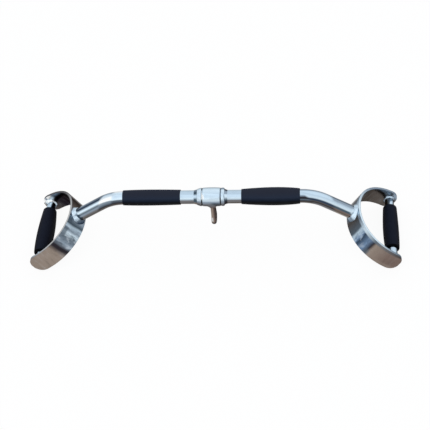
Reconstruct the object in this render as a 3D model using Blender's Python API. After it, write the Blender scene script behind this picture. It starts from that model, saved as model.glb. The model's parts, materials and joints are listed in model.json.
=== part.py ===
"""Lat pulldown bar: a bent steel bar with a turning hanger and a D-shaped hand bracket at each end.

Metres, +Z up. X runs along the bar and Y from front to back. The part stands on the rounded
ends of its two straps, centred over the origin, and the hanger's eye hangs straight down.
"""
import math

import bmesh
import bpy
from mathutils import Matrix, Vector

# Fits
CLEARANCE = 0.0003            # between pieces that touch, and round the turning fit

# Main bar
BAR_DIAMETER = 0.028
GRIP_SPACING = 0.125          # clear bar between the inner ends of the two bar grips
BAR_GRIP_LENGTH = 0.119
BEND_LEAD = 0.0004            # from a grip's outer end to the start of the bend
BEND_ANGLE = math.radians(33)
BEND_RADIUS = 0.088           # of the bar's centreline
ARM_LENGTH = 0.093            # from the bend point to the strap's outer face

# D-shaped strap, in a plane that holds the arm and the Y direction
STRAP_WIDTH = 0.044
STRAP_THICKNESS = 0.005
D_CHORD = 0.180               # over the outer faces of the two legs
D_DEPTH = 0.094               # of the curved part, from the arm to the start of the legs
D_FULLNESS = 2.13             # exponent of the curve: 2 is an ellipse, more is squarer
LEG_LENGTH = 0.017            # straight end of each leg
LEG_END_FLAT = 0.003          # what the two round corners of a leg's end leave between them
OVERHANG = 0.015              # from the handle's axis to the leg's end

# Handles
ROD_DIAMETER = 0.019
BARE_ROD = 0.0255             # between a leg's inner face and the end of the handle's grip

# Rubber grips: wall at their ends, and how far the middle swells beyond it
BAR_GRIP_WALL = 0.0011
HANDLE_GRIP_WALL = 0.0046
GRIP_END_ROUND = 0.0008
GRIP_END_SHARE = 0.8          # most of a wall that the rounding may take
GRIP_SWELL_PLACE = 0.57       # share of the length, from the inner or rear end
GRIP_SWELL_FLATNESS = 0.7     # below 1 the swell has a longer level middle
LEFT_BAR_SWELL = 0.0010
RIGHT_BAR_SWELL = 0.0032
LEFT_HANDLE_SWELL = 0.0040
RIGHT_HANDLE_SWELL = 0.0020
LEFT_HANDLE_LEAN = 0.0022     # extra swell on the side that faces the bar, taken from the far side
RIGHT_HANDLE_LEAN = 0.0010

# Hanger: a sleeve on two flanged bushes, with an eye of round rod
BUSH_WALL = 0.0022
BUSH_SPACING = 0.008          # between the two bushes' inner ends
BUSH_FLANGE = 0.0012
BUSH_FLANGE_HEIGHT = 0.0018   # above the bush's own outer surface
SLEEVE_WALL = 0.0028
SLEEVE_LENGTH = 0.038
SLEEVE_CROWN = 0.0007         # how much the middle stands above the ends
SLEEVE_EDGE = 0.0009          # chamfer of the two end edges
EYE_ROD = 0.008
EYE_GAP = 0.016               # between the two legs
EYE_DROP = 0.0735             # from the bar's axis to the bottom of the eye

# Collars beside the hanger
COLLAR_WIDTH = 0.007
COLLAR_HEIGHT = 0.0047        # above the bar
COLLAR_CHAMFER = 0.0022

# Weld beads: length of the two sides that lie on the welded pieces
COLLAR_BEAD = 0.0042
ARM_BEAD = 0.0060
HANDLE_BEAD = 0.0034
EYE_BEAD = 0.0050
BEAD_HOLLOW = 0.12            # how far a bead's face is drawn in, as a share of its depth

# Fineness of the round forms
BAR_SIDES = 32
GRIP_SIDES = 24
BEAD_SIDES = 24
EYE_SIDES = 16
BEND_STEPS = 8
EYE_STEPS = 14
D_STEPS = 44
CORNER_STEPS = 8
SWELL_STEPS = 12
CROWN_STEPS = 6
GRIP_END_STEPS = 2
MERGE_DISTANCE = 1e-6
SHARP_ANGLE = math.radians(35)

# Sizes that follow from the ones above
bar_radius = BAR_DIAMETER / 2
rod_radius = ROD_DIAMETER / 2
half_chord = D_CHORD / 2
leg_end = D_DEPTH + LEG_LENGTH
handle_reach = leg_end - OVERHANG
leg_corner = (STRAP_WIDTH - LEG_END_FLAT) / 2
handle_grip_length = D_CHORD - 2 * (STRAP_THICKNESS + BARE_ROD)
grip_outer_end = GRIP_SPACING / 2 + BAR_GRIP_LENGTH
bend_start = grip_outer_end + BEND_LEAD
bend_point = bend_start + BEND_RADIUS * math.tan(BEND_ANGLE / 2)
bush_bore = bar_radius + CLEARANCE
bush_radius = bush_bore + BUSH_WALL
bush_length = (SLEEVE_LENGTH - BUSH_SPACING) / 2
sleeve_bore = bush_radius + CLEARANCE
sleeve_radius = sleeve_bore + SLEEVE_WALL
flange_face = SLEEVE_LENGTH / 2 + CLEARANCE
collar_face = flange_face + BUSH_FLANGE + CLEARANCE
eye_leg_y = (EYE_GAP + EYE_ROD) / 2
eye_centre_drop = EYE_DROP - EYE_ROD / 2 - eye_leg_y

CHROME = ((0.62, 0.66, 0.70), 0.12, 1.0)
WELD = ((0.72, 0.75, 0.78), 0.35, 1.0)
RUBBER = ((0.020, 0.024, 0.032), 0.60, 0.0)
NYLON = ((0.020, 0.020, 0.022), 0.45, 0.0)


def clear_scene():
    for old in list(bpy.data.objects):
        bpy.data.objects.remove(old, do_unlink=True)


def finish_material(name, finish):
    colour, roughness, metallic = finish
    material = bpy.data.materials.new(name)
    material.use_nodes = True
    shader = material.node_tree.nodes["Principled BSDF"]
    shader.inputs["Base Color"].default_value = (*colour, 1.0)
    shader.inputs["Roughness"].default_value = roughness
    shader.inputs["Metallic"].default_value = metallic
    return material


def frame_empty(name, location, rotation=(0, 0, 0)):
    empty = bpy.data.objects.new(name, None)
    empty.location = location
    empty.rotation_euler = rotation
    bpy.context.scene.collection.objects.link(empty)
    return empty


def add_object(name, mesh, parent, finish=None, location=(0, 0, 0), rotation=(0, 0, 0)):
    """Link an object for the mesh under its parent; without a finish it is a cutter."""
    piece = bpy.data.objects.new(name, mesh)
    piece.parent = parent
    piece.location = location
    piece.rotation_euler = rotation
    bpy.context.scene.collection.objects.link(piece)
    if finish is None:
        piece.hide_render = True
        piece.display_type = "WIRE"
        return piece
    piece.data.materials.clear()
    piece.data.materials.append(finish_material(name, finish))
    return piece


def mesh_from(name, work):
    """Close a bmesh into a mesh with its faces outward and its round sides smooth."""
    bmesh.ops.recalc_face_normals(work, faces=work.faces)
    mesh = bpy.data.meshes.new(name)
    work.to_mesh(mesh)
    work.free()
    mesh.shade_smooth()
    mesh.set_sharp_from_angle(angle=SHARP_ANGLE)
    return mesh


def closed_grid(name, loops):
    """Skin loops of equal length that close on themselves and follow each other in a ring."""
    work = bmesh.new()
    rows = [[work.verts.new(point) for point in loop] for loop in loops]
    count = len(rows[0])
    for row, after in zip(rows, rows[1:] + rows[:1]):
        for k in range(count):
            nearby = (k + 1) % count
            work.faces.new((row[k], row[nearby], after[nearby], after[k]))
    return mesh_from(name, work)


def turned(name, profile, sides):
    """Turn a closed profile of (distance along X, radius) points about the X axis."""
    work = bmesh.new()
    corners = [work.verts.new((x, 0, radius)) for x, radius in profile]
    edges = [work.edges.new(pair) for pair in zip(corners, corners[1:] + corners[:1])]
    bmesh.ops.spin(work, geom=corners + edges, cent=(0, 0, 0), axis=(1, 0, 0),
                   angle=math.tau, steps=sides, use_merge=True)
    bmesh.ops.remove_doubles(work, verts=work.verts, dist=MERGE_DISTANCE)
    return mesh_from(name, work)


def round_rod(name, route, diameter, sides):
    """A solid round rod along the route, with flat ends."""
    curve = bpy.data.curves.new(name, "CURVE")
    curve.dimensions = "3D"
    curve.bevel_depth = diameter / 2
    curve.bevel_resolution = sides // 2 - 2
    curve.use_fill_caps = True
    spline = curve.splines.new("POLY")
    spline.points.add(len(route) - 1)
    for point, place in zip(spline.points, route):
        point.co = (*place, 1)
    guide = bpy.data.objects.new(name + "_route", curve)
    mesh = bpy.data.meshes.new_from_object(guide)
    bpy.data.objects.remove(guide, do_unlink=True)
    work = bmesh.new()
    work.from_mesh(mesh)
    bpy.data.meshes.remove(mesh)
    bmesh.ops.remove_doubles(work, verts=work.verts, dist=MERGE_DISTANCE)
    return mesh_from(name, work)


def prism(name, outline, depth):
    """Extrude an outline of points in one plane by the vector depth."""
    work = bmesh.new()
    face = work.faces.new([work.verts.new(point) for point in outline])
    grown = bmesh.ops.extrude_face_region(work, geom=[face])
    moved = [item for item in grown["geom"] if isinstance(item, bmesh.types.BMVert)]
    bmesh.ops.translate(work, verts=moved, vec=depth)
    return mesh_from(name, work)


def cut(piece, cutter, operation="DIFFERENCE"):
    boolean = piece.modifiers.new(operation.lower(), "BOOLEAN")
    boolean.operation = operation
    boolean.solver = "EXACT"
    boolean.object = cutter


def bar_route():
    """Centreline of the bar, from the left strap to the right one."""
    half = []
    for k in range(BEND_STEPS + 1):
        turn = BEND_ANGLE * k / BEND_STEPS
        x = bend_start + BEND_RADIUS * math.sin(turn)
        half.append((x, 0, BEND_RADIUS * (math.cos(turn) - 1)))
    reach = ARM_LENGTH + STRAP_THICKNESS / 2
    end = (bend_point + reach * math.cos(BEND_ANGLE), 0, -reach * math.sin(BEND_ANGLE))
    half.append(end)
    return [(-x, y, z) for x, y, z in reversed(half)] + half


def d_outline(inset):
    """Points (u, v) of the strap's outer face, moved inward by inset.

    u runs from the arm towards the handle, v along the handle. The curve is a superellipse,
    and each leg runs on straight from its end.
    """
    points = [(leg_end, -half_chord + inset)]
    for k in range(D_STEPS + 1):
        turn = math.pi * (k / D_STEPS - 0.5)
        across = abs(math.cos(turn)) ** (2 / D_FULLNESS)
        along = abs(math.sin(turn)) ** (2 / D_FULLNESS)
        side = math.copysign(1, turn)
        outward = Vector((-across ** (D_FULLNESS - 1) / D_DEPTH,
                          side * along ** (D_FULLNESS - 1) / half_chord)).normalized()
        points.append((D_DEPTH * (1 - across) - inset * outward.x,
                       side * half_chord * along - inset * outward.y))
    points.append((leg_end, half_chord - inset))
    return points


def outer_face(v):
    """Depth u of the strap's outer face near the arm, at the place v along the handle."""
    share = 1 - (abs(v) / half_chord) ** D_FULLNESS
    return D_DEPTH * (1 - share ** (1 / D_FULLNESS))


def inner_face(u):
    """Place v of a leg's inner face, at the depth u."""
    points = [point for point in d_outline(STRAP_THICKNESS) if point[1] > 0]
    for (u0, v0), (u1, v1) in zip(points, points[1:]):
        if u0 <= u <= u1:
            return v0 + (v1 - v0) * (u - u0) / (u1 - u0)
    return half_chord - STRAP_THICKNESS


def strap_mesh():
    half_width = Vector((0, 0, STRAP_WIDTH / 2))
    outline = d_outline(0) + d_outline(STRAP_THICKNESS)[::-1]
    flat = [Vector((u, v, 0)) - half_width for u, v in outline]
    return prism("d_strap", flat, 2 * half_width)


def leg_end_cutter_mesh():
    """The strap's side view: a long plate whose far end has two round corners."""
    half_width = STRAP_WIDTH / 2
    margin = STRAP_WIDTH
    outline = [Vector((-margin, -D_CHORD, half_width + margin)),
               Vector((-margin, -D_CHORD, -half_width - margin)),
               Vector((leg_end - leg_corner - STRAP_THICKNESS, -D_CHORD, -half_width - margin)),
               Vector((leg_end - leg_corner - STRAP_THICKNESS, -D_CHORD, -half_width))]
    for sign in (-1, 1):
        for k in range(CORNER_STEPS + 1):
            turn = math.pi / 2 * (k / CORNER_STEPS if sign < 0 else 1 - k / CORNER_STEPS)
            outline.append(Vector((leg_end - leg_corner * (1 - math.sin(turn)), -D_CHORD,
                                   sign * (half_width - leg_corner * (1 - math.cos(turn))))))
    outline += [Vector((leg_end - leg_corner - STRAP_THICKNESS, -D_CHORD, half_width)),
                Vector((leg_end - leg_corner - STRAP_THICKNESS, -D_CHORD, half_width + margin))]
    return prism("leg_end_cutter", outline, Vector((0, 2 * D_CHORD, 0)))


def arm_end_cutter_mesh():
    """All that lies beyond the strap's outer face, with its clearance."""
    half_width = Vector((0, 0, STRAP_WIDTH))
    outline = [Vector((u, v, 0)) - half_width for u, v in d_outline(-CLEARANCE)]
    return prism("arm_end_cutter", outline, 2 * half_width)


def bead_section(root, rod_toe, plate_toe):
    """Four points round a fillet bead: its root, its two toes and a slightly hollow face."""
    middle = (rod_toe + plate_toe) / 2
    return [root, rod_toe, middle.lerp(root, BEAD_HOLLOW), plate_toe]


def arm_bead_mesh():
    sections = []
    for k in range(BEAD_SIDES):
        turn = math.tau * k / BEAD_SIDES
        around = Vector((0, math.sin(turn), math.cos(turn)))
        inner = bar_radius + CLEARANCE
        outer = inner + ARM_BEAD
        foot = outer_face(inner * around.y) - CLEARANCE
        toe = outer_face(outer * around.y) - CLEARANCE
        sections.append(bead_section(Vector((foot, 0, 0)) + inner * around,
                                     Vector((foot - ARM_BEAD, 0, 0)) + inner * around,
                                     Vector((toe, 0, 0)) + outer * around))
    return closed_grid("arm_weld", sections)


def handle_bead_mesh():
    """Bead between the handle rod and the inner face of the leg at +Y."""
    sections = []
    for k in range(BEAD_SIDES):
        turn = math.tau * k / BEAD_SIDES
        around = Vector((math.sin(turn), 0, math.cos(turn)))
        inner = rod_radius + CLEARANCE
        outer = inner + HANDLE_BEAD
        foot = inner_face(handle_reach + inner * around.x) - CLEARANCE
        toe = inner_face(handle_reach + outer * around.x) - CLEARANCE
        centre = Vector((handle_reach, 0, 0))
        sections.append(bead_section(centre + inner * around + Vector((0, foot, 0)),
                                     centre + inner * around + Vector((0, foot - HANDLE_BEAD, 0)),
                                     centre + outer * around + Vector((0, toe, 0))))
    return closed_grid("handle_weld", sections)


def eye_bead_mesh():
    """Bead between the sleeve and the eye's leg at +Y; it follows the sleeve's round side."""
    sections = []
    skin = sleeve_radius + CLEARANCE
    for k in range(BEAD_SIDES):
        turn = math.tau * k / BEAD_SIDES
        across, along = math.cos(turn), math.sin(turn)
        inner = EYE_ROD / 2 + CLEARANCE
        foot_angle = math.asin((eye_leg_y + inner * along) / skin)
        toe_angle = foot_angle + EYE_BEAD * along / skin
        toe_x = (inner + EYE_BEAD) * across
        root = Vector((inner * across, skin * math.sin(foot_angle), -skin * math.cos(foot_angle)))
        plate_toe = Vector((toe_x, skin * math.sin(toe_angle), -skin * math.cos(toe_angle)))
        sections.append(bead_section(root, root - Vector((0, 0, EYE_BEAD)), plate_toe))
    return closed_grid("eye_weld", sections)


def grip_mesh(name, axis, facing, length, hole_radius, wall, swell, lean):
    """A rubber grip along axis, starting at the origin, that leans towards facing."""
    beside = axis.cross(facing)
    end_round = min(GRIP_END_ROUND, wall * GRIP_END_SHARE)
    near_end = []
    for k in range(GRIP_END_STEPS + 1):
        turn = math.pi / 2 * k / GRIP_END_STEPS
        near_end.append((end_round * (1 - math.cos(turn)), end_round * (1 - math.sin(turn))))
    stations = near_end + [(length * k / SWELL_STEPS, 0) for k in range(1, SWELL_STEPS)]
    stations += [(length - distance, cut_back) for distance, cut_back in reversed(near_end)]
    warp = math.log(0.5) / math.log(GRIP_SWELL_PLACE)

    def ring(distance, radius_at):
        """Points round the axis at a distance along it, at the radius given for each angle."""
        points = []
        for k in range(GRIP_SIDES):
            turn = math.tau * k / GRIP_SIDES
            outward = facing * math.cos(turn) + beside * math.sin(turn)
            points.append(axis * distance + outward * radius_at(turn))
        return points

    loops = []
    for distance, cut_back in stations:
        share = min(max(distance / length, 0), 1)
        rise = max(math.sin(math.pi * share ** warp), 0) ** GRIP_SWELL_FLATNESS
        plain = hole_radius + wall - cut_back + rise * swell
        loops.append(ring(distance, lambda turn: plain + rise * lean * math.cos(turn)))
    loops += [ring(distance, lambda turn: hole_radius) for distance in (length, 0)]
    return closed_grid(name, loops)


def sleeve_mesh():
    """Crowned tube, turned about the bar's axis."""
    half = SLEEVE_LENGTH / 2
    rim = sleeve_radius - SLEEVE_CROWN - SLEEVE_EDGE
    profile = [(-half, sleeve_bore), (-half, rim)]
    for k in range(CROWN_STEPS + 1):
        share = 2 * k / CROWN_STEPS - 1
        profile.append((share * (half - SLEEVE_EDGE), sleeve_radius - SLEEVE_CROWN * share ** 2))
    profile += [(half, rim), (half, sleeve_bore)]
    return turned("hanger_sleeve", profile, BAR_SIDES)


def bush_mesh():
    """Flanged bush for the sleeve's end at +X."""
    inner_end = SLEEVE_LENGTH / 2 - bush_length
    outer_end = flange_face + BUSH_FLANGE
    rim = bush_radius + BUSH_FLANGE_HEIGHT
    profile = [(inner_end, bush_bore), (inner_end, bush_radius), (flange_face, bush_radius),
               (flange_face, rim), (outer_end, rim), (outer_end, bush_bore)]
    return turned("bush", profile, BAR_SIDES)


def collar_mesh():
    """Fixed collar beside the hanger, with a chamfer on its outer side."""
    inner = bar_radius + CLEARANCE
    outer = bar_radius + COLLAR_HEIGHT
    far = collar_face + COLLAR_WIDTH
    profile = [(collar_face, inner), (collar_face, outer), (far - COLLAR_CHAMFER, outer),
               (far, outer - COLLAR_CHAMFER), (far, inner)]
    return turned("collar", profile, BAR_SIDES)


def collar_bead_mesh():
    """Bead in the corner between the collar's outer side and the bar."""
    root = Vector((collar_face + COLLAR_WIDTH + CLEARANCE, bar_radius + CLEARANCE))
    face_height = COLLAR_HEIGHT - COLLAR_CHAMFER - CLEARANCE
    collar_toe = root + Vector((0, min(COLLAR_BEAD, face_height)))
    bar_toe = root + Vector((COLLAR_BEAD, 0))
    return turned("collar_weld", bead_section(root, bar_toe, collar_toe), BAR_SIDES)


def eye_mesh():
    """U of round rod in the YZ plane, its legs running up into the sleeve's cutter."""
    route = [(0, -eye_leg_y, 0)]
    for k in range(EYE_STEPS + 1):
        turn = math.pi * k / EYE_STEPS
        route.append((0, -eye_leg_y * math.cos(turn), -eye_centre_drop - eye_leg_y * math.sin(turn)))
    route.append((0, eye_leg_y, 0))
    return round_rod("hanger_eye", route, EYE_ROD, EYE_SIDES)


def build_centre(axis_frame):
    """Main bar, collars with their beads, and the two grips on the bar."""
    route = bar_route()
    bar = add_object("main_bar", round_rod("main_bar", route, BAR_DIAMETER, BAR_SIDES),
                     axis_frame, CHROME)
    collar = collar_mesh()
    bead = collar_bead_mesh()
    for side, turn in (("right", 0), ("left", math.pi)):
        add_object(side + "_collar", collar.copy(), axis_frame, CHROME, rotation=(0, 0, turn))
        add_object(side + "_collar_weld", bead.copy(), axis_frame, WELD, rotation=(0, 0, turn))
    for side, sign, swell in (("left", -1, LEFT_BAR_SWELL), ("right", 1, RIGHT_BAR_SWELL)):
        name = side + "_bar_grip"
        mesh = grip_mesh(name, Vector((sign, 0, 0)), Vector((0, 0, 1)), BAR_GRIP_LENGTH,
                         bar_radius + CLEARANCE, BAR_GRIP_WALL, swell, 0)
        add_object(name, mesh, axis_frame, RUBBER, location=(sign * GRIP_SPACING / 2, 0, 0))
    return bar


def build_hanger(axis_frame):
    """Everything that turns on the bar, under an empty that lies on the turning axis."""
    hanger = frame_empty("hanger_axis", (0, 0, 0))
    hanger.parent = axis_frame
    add_object("hanger_sleeve", sleeve_mesh(), hanger, CHROME)
    bush = bush_mesh()
    add_object("right_bush", bush.copy(), hanger, NYLON)
    add_object("left_bush", bush.copy(), hanger, NYLON, rotation=(0, 0, math.pi))
    envelope = turned("eye_cutter", [(-SLEEVE_LENGTH, 0), (-SLEEVE_LENGTH, sleeve_radius + CLEARANCE),
                                     (SLEEVE_LENGTH, sleeve_radius + CLEARANCE), (SLEEVE_LENGTH, 0)],
                      BAR_SIDES)
    cutter = add_object("eye_cutter", envelope, hanger)
    cut(add_object("hanger_eye", eye_mesh(), hanger, CHROME), cutter)
    bead = eye_bead_mesh()
    add_object("rear_eye_weld", bead.copy(), hanger, WELD)
    add_object("front_eye_weld", bead.copy(), hanger, WELD, rotation=(0, 0, math.pi))


def build_bracket(side, turn, axis_frame, bar, swell, lean):
    """Strap, handle rod, handle grip and beads of one end, on its own tilted frame.

    The frame's origin is where the arm meets the strap: X is the arm's direction, Z across the
    strap's width. On the left the frame is turned half round, so its +Y is the front.
    """
    reach = bend_point + ARM_LENGTH * math.cos(BEND_ANGLE)
    place = Matrix.Rotation(turn, 3, "Z") @ Vector((reach, 0, -ARM_LENGTH * math.sin(BEND_ANGLE)))
    frame = frame_empty(side + "_bracket_frame", place, (0, BEND_ANGLE, turn))
    frame.parent = axis_frame

    strap = add_object(side + "_d_strap", strap_mesh(), frame, CHROME)
    cut(strap, add_object(side + "_leg_end_cutter", leg_end_cutter_mesh(), frame), "INTERSECT")
    cut(bar, add_object(side + "_arm_end_cutter", arm_end_cutter_mesh(), frame))
    add_object(side + "_arm_weld", arm_bead_mesh(), frame, WELD)

    rod_end = inner_face(handle_reach - rod_radius) - CLEARANCE
    rod = round_rod("handle_rod", [(handle_reach, -rod_end, 0), (handle_reach, rod_end, 0)],
                    ROD_DIAMETER, BEAD_SIDES)
    add_object(side + "_handle_rod", rod, frame, CHROME)
    front = 1 if turn else -1
    bead = handle_bead_mesh()
    flip = Matrix.Diagonal((1, -1, 1, 1))
    for end, sign in (("front", front), ("rear", -front)):
        mesh = bead.copy()
        if sign < 0:
            mesh.transform(flip)
            mesh.flip_normals()
        add_object(side + "_" + end + "_handle_weld", mesh, frame, WELD)
    name = side + "_handle_grip"
    grip = grip_mesh(name, Vector((0, front, 0)), Vector((-1, 0, 0)), handle_grip_length,
                     rod_radius + CLEARANCE, HANDLE_GRIP_WALL, swell, lean)
    start = (handle_reach, -front * handle_grip_length / 2, 0)
    add_object(name, grip, frame, RUBBER, location=start)


def axis_height():
    """How high the bar's axis lies when the part stands on what reaches lowest.

    The arms fall by BEND_ANGLE, so that is the leg ends' lower corners, unless a grip is thick
    enough to reach past them.
    """
    fall, level = math.sin(BEND_ANGLE), math.cos(BEND_ANGLE)
    corner = fall * (ARM_LENGTH + leg_end - leg_corner) + level * LEG_END_FLAT / 2 + leg_corner
    grips = [fall * (ARM_LENGTH + handle_reach - lean) + rod_radius + CLEARANCE + HANDLE_GRIP_WALL
             + swell for swell, lean in ((LEFT_HANDLE_SWELL, LEFT_HANDLE_LEAN),
                                         (RIGHT_HANDLE_SWELL, RIGHT_HANDLE_LEAN))]
    return max(corner, *grips)


def main():
    clear_scene()
    axis_frame = frame_empty("bar_axis", (0, 0, axis_height()))
    bar = build_centre(axis_frame)
    build_hanger(axis_frame)
    build_bracket("right", 0, axis_frame, bar, RIGHT_HANDLE_SWELL, RIGHT_HANDLE_LEAN)
    build_bracket("left", math.pi, axis_frame, bar, LEFT_HANDLE_SWELL, LEFT_HANDLE_LEAN)


main()
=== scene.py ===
# %% [markdown]
# # A lat pulldown bar
# The object is a bent chrome bar for a cable machine. It has rubber grips, a D-shaped strap
# bracket with a cross handle at each end, and a sleeve with a hanging eye that turns on its middle.
# The CAD model is loaded first and stays as it is. Each of its nodes is then stood for by a finer
# piece, which is modelled with Blender's own operators, as by hand.

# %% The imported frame
import json
import math

import bpy
from mathutils import Matrix, Vector, noise

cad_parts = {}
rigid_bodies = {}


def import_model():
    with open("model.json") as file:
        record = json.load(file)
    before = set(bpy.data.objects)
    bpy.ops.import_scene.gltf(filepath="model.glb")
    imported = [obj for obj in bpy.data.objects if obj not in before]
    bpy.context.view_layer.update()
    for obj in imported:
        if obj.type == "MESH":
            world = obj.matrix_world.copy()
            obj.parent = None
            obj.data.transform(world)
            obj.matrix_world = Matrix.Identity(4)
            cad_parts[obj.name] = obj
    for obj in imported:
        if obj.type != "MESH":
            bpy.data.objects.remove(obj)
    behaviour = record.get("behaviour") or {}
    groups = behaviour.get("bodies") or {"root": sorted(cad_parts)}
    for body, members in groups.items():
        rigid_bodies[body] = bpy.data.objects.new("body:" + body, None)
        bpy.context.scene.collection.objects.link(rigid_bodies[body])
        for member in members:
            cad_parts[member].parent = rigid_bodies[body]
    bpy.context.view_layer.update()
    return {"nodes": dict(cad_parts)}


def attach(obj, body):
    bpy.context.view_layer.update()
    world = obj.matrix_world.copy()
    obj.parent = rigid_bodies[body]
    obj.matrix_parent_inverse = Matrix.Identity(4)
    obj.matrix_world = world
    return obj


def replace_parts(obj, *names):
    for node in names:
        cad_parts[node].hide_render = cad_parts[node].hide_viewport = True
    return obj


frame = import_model()

# %% [markdown]
# The camera comes first, because every later choice is judged in its view. Its place was fitted to
# the outline in the photograph: how far away it stands, how steeply it looks down, and how it is
# turned and tilted. From these the camera's three directions are worked out, and the middle of the
# bar is put on its pixel. The framing needs no lens shift.

# %% The camera
FRAME_PIXELS = 430
FOCAL_PIXELS = 1098.43
SENSOR = 36.0
AXIS_HEIGHT = 0.121699                  # of the bar's straight middle
HUB = Vector((0, 0, AXIS_HEIGHT))
HUB_RIGHT, HUB_DOWN = -2.92, -18.13     # pixels from the middle of the frame
DISTANCE = 2.2447
LOOK_DOWN, TURN, ROLL = (math.radians(a) for a in (46.33, -7.79, -6.20))


def add_camera():
    sight = Vector((math.sin(TURN) * math.cos(LOOK_DOWN), math.cos(TURN) * math.cos(LOOK_DOWN),
                    -math.sin(LOOK_DOWN)))
    level = Vector((math.cos(TURN), -math.sin(TURN), 0))
    right = math.cos(ROLL) * level + math.sin(ROLL) * level.cross(sight)
    up = right.cross(sight)
    place = HUB - DISTANCE * (sight + right * HUB_RIGHT / FOCAL_PIXELS - up * HUB_DOWN / FOCAL_PIXELS)
    data = bpy.data.cameras.new("camera")
    data.sensor_fit, data.sensor_width = "HORIZONTAL", SENSOR
    data.lens = FOCAL_PIXELS / FRAME_PIXELS * SENSOR
    camera = bpy.data.objects.new("camera", data)
    bpy.context.scene.collection.objects.link(camera)
    camera.matrix_world = Matrix.Translation(place) @ Matrix((right, up, -sight)).transposed().to_4x4()
    bpy.context.scene.camera = camera
    return camera


camera = add_camera()
print("camera at", [round(v, 3) for v in camera.matrix_world.translation], "lens", round(camera.data.lens, 1))

# %% [markdown]
# Finishes are made of shader nodes. Two small classes keep that readable. `Wire` stands for one
# socket and takes part in Python's sums, so that a formula can be written as a formula. `Finish`
# stands for one node tree, and its one method adds any node with its settings and its inputs.

# %% Shader sockets as numbers
class Wire:
    """A shader socket; each operator adds a Math node."""

    def __init__(self, finish, socket):
        self.finish, self.socket = finish, socket

    def maths(self, operation, first, second=None):
        return self.finish.node("Math", {"operation": operation}, {0: first, 1: second})

    def __add__(self, other):
        return self.maths("ADD", self, other)

    def __sub__(self, other):
        return self.maths("SUBTRACT", self, other)

    def __rsub__(self, other):
        return self.maths("SUBTRACT", other, self)

    def __mul__(self, other):
        return self.maths("MULTIPLY", self, other)

    def __truediv__(self, other):
        return self.maths("DIVIDE", self, other)

    def __rtruediv__(self, other):
        return self.maths("DIVIDE", other, self)

    def __abs__(self):
        return self.maths("ABSOLUTE", self)

    __radd__, __rmul__ = __add__, __mul__


class Finish:
    """A node tree. It is a new material's, unless a tree is given."""

    def __init__(self, name, tree=None):
        if tree is None:
            self.material = bpy.data.materials.new(name)
            self.material.use_nodes = True
            tree = self.material.node_tree
            self.shader = tree.nodes["Principled BSDF"]
        self.tree = tree

    def node(self, kind, settings=None, values=None, output=0):
        made = self.tree.nodes.new("ShaderNode" + kind)
        for setting, value in (settings or {}).items():
            if setting == "stops":
                fill_ramp(made.color_ramp, value)
            else:
                setattr(made, setting, value)
        for socket, value in (values or {}).items():
            self.feed(made.inputs[socket], value)
        return Wire(self, made.outputs[output])

    def feed(self, socket, value):
        if isinstance(value, Wire):
            self.tree.links.new(value.socket, socket)
        elif value is not None:
            socket.default_value = value

    def surface(self, **values):
        """Set or feed the main shader's sockets; a _ in a name stands for a space."""
        for name, value in values.items():
            self.feed(self.shader.inputs[name.replace("_", " ")], value)
        return self

    def mix(self, share, under, over, blend="MIX"):
        """Lay one colour over another."""
        return self.node("Mix", {"data_type": "RGBA", "blend_type": blend},
                         {0: share, 6: under, 7: over}, output=2)

    def split(self, vector):
        """The three parts of a vector."""
        parts = self.node("SeparateXYZ", values={0: vector}).socket.node.outputs
        return [Wire(self, part) for part in parts]

    def noise(self, scale, detail=2.0, where=None, roughness=0.5, distortion=0.0):
        """Soft random clouds from 0 to 1; the scale is in clouds a metre."""
        where = where or self.node("TexCoord", output="Object")
        return self.node("TexNoise", values={"Vector": where, "Scale": scale, "Detail": detail,
                                             "Roughness": roughness, "Distortion": distortion})

    def ease(self, value, low, high):
        """Go softly from 0 to 1 while value goes from low to high."""
        return self.node("MapRange", {"interpolation_type": "SMOOTHSTEP"}, {0: value, 1: low, 2: high})

    def bump(self, height, depth, strength=1.0, normal=None):
        """Raise the surface by height times depth, in metres."""
        return self.node("Bump", values={"Strength": strength, "Distance": depth,
                                         "Height": height, "Normal": normal})


def fill_ramp(ramp, stops):
    """Give a ramp its stops, pairs of place and colour, in rising order."""
    ramp.elements[0].position, ramp.elements[0].color = stops[0]
    ramp.elements[1].position, ramp.elements[1].color = stops[-1]
    for place, colour in stops[1:-1]:
        ramp.elements.new(place).color = colour


def seen(red, green, blue):
    """A colour as a screen shows it, 0 to 255, made linear for a shader."""
    def linear(part):
        return part / 12.92 if part <= 0.04045 else ((part + 0.055) / 1.055) ** 2.4
    return (linear(red / 255), linear(green / 255), linear(blue / 255), 1.0)


print("middle grey is", [round(v, 3) for v in seen(128, 128, 128)])

# %% [markdown]
# The light is that of a plain studio: a pale sky all round, a little brighter overhead, and two
# large soft lamps. Together they light a surface at a level where its colour shows about as it is
# written. The floor is a pale plane. The photograph's background is pure white, so the camera, and
# what the metal mirrors, see most of the floor's colour as plain white, and its own shading shows
# through enough to keep the object's soft shadow. The camera sees the sky as plain white too.

# %% Sky, lamps and floor
WHITE = (1.0, 1.0, 1.0, 1.0)
bpy.context.scene.view_settings.view_transform = "Standard"


def add_sky():
    world = bpy.data.worlds.new("sky")
    bpy.context.scene.world = world
    world.use_nodes = True
    sky = Finish("sky", world.node_tree)
    height = sky.split(sky.node("TexCoord", output="Generated"))[2]
    colour = sky.node("ValToRGB", {"stops": [
        (0.0, (0.80, 0.80, 0.80, 1)), (0.47, (0.80, 0.80, 0.80, 1)), (0.53, (0.82, 0.825, 0.83, 1)),
        (0.72, (0.90, 0.92, 0.94, 1)), (1.0, (0.93, 0.96, 1.0, 1))]}, {0: height * 0.5 + 0.5})
    colour = sky.mix(sky.node("LightPath", output="Is Camera Ray"), colour, WHITE)
    sky.feed(world.node_tree.nodes["Background"].inputs["Color"], colour)


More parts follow.
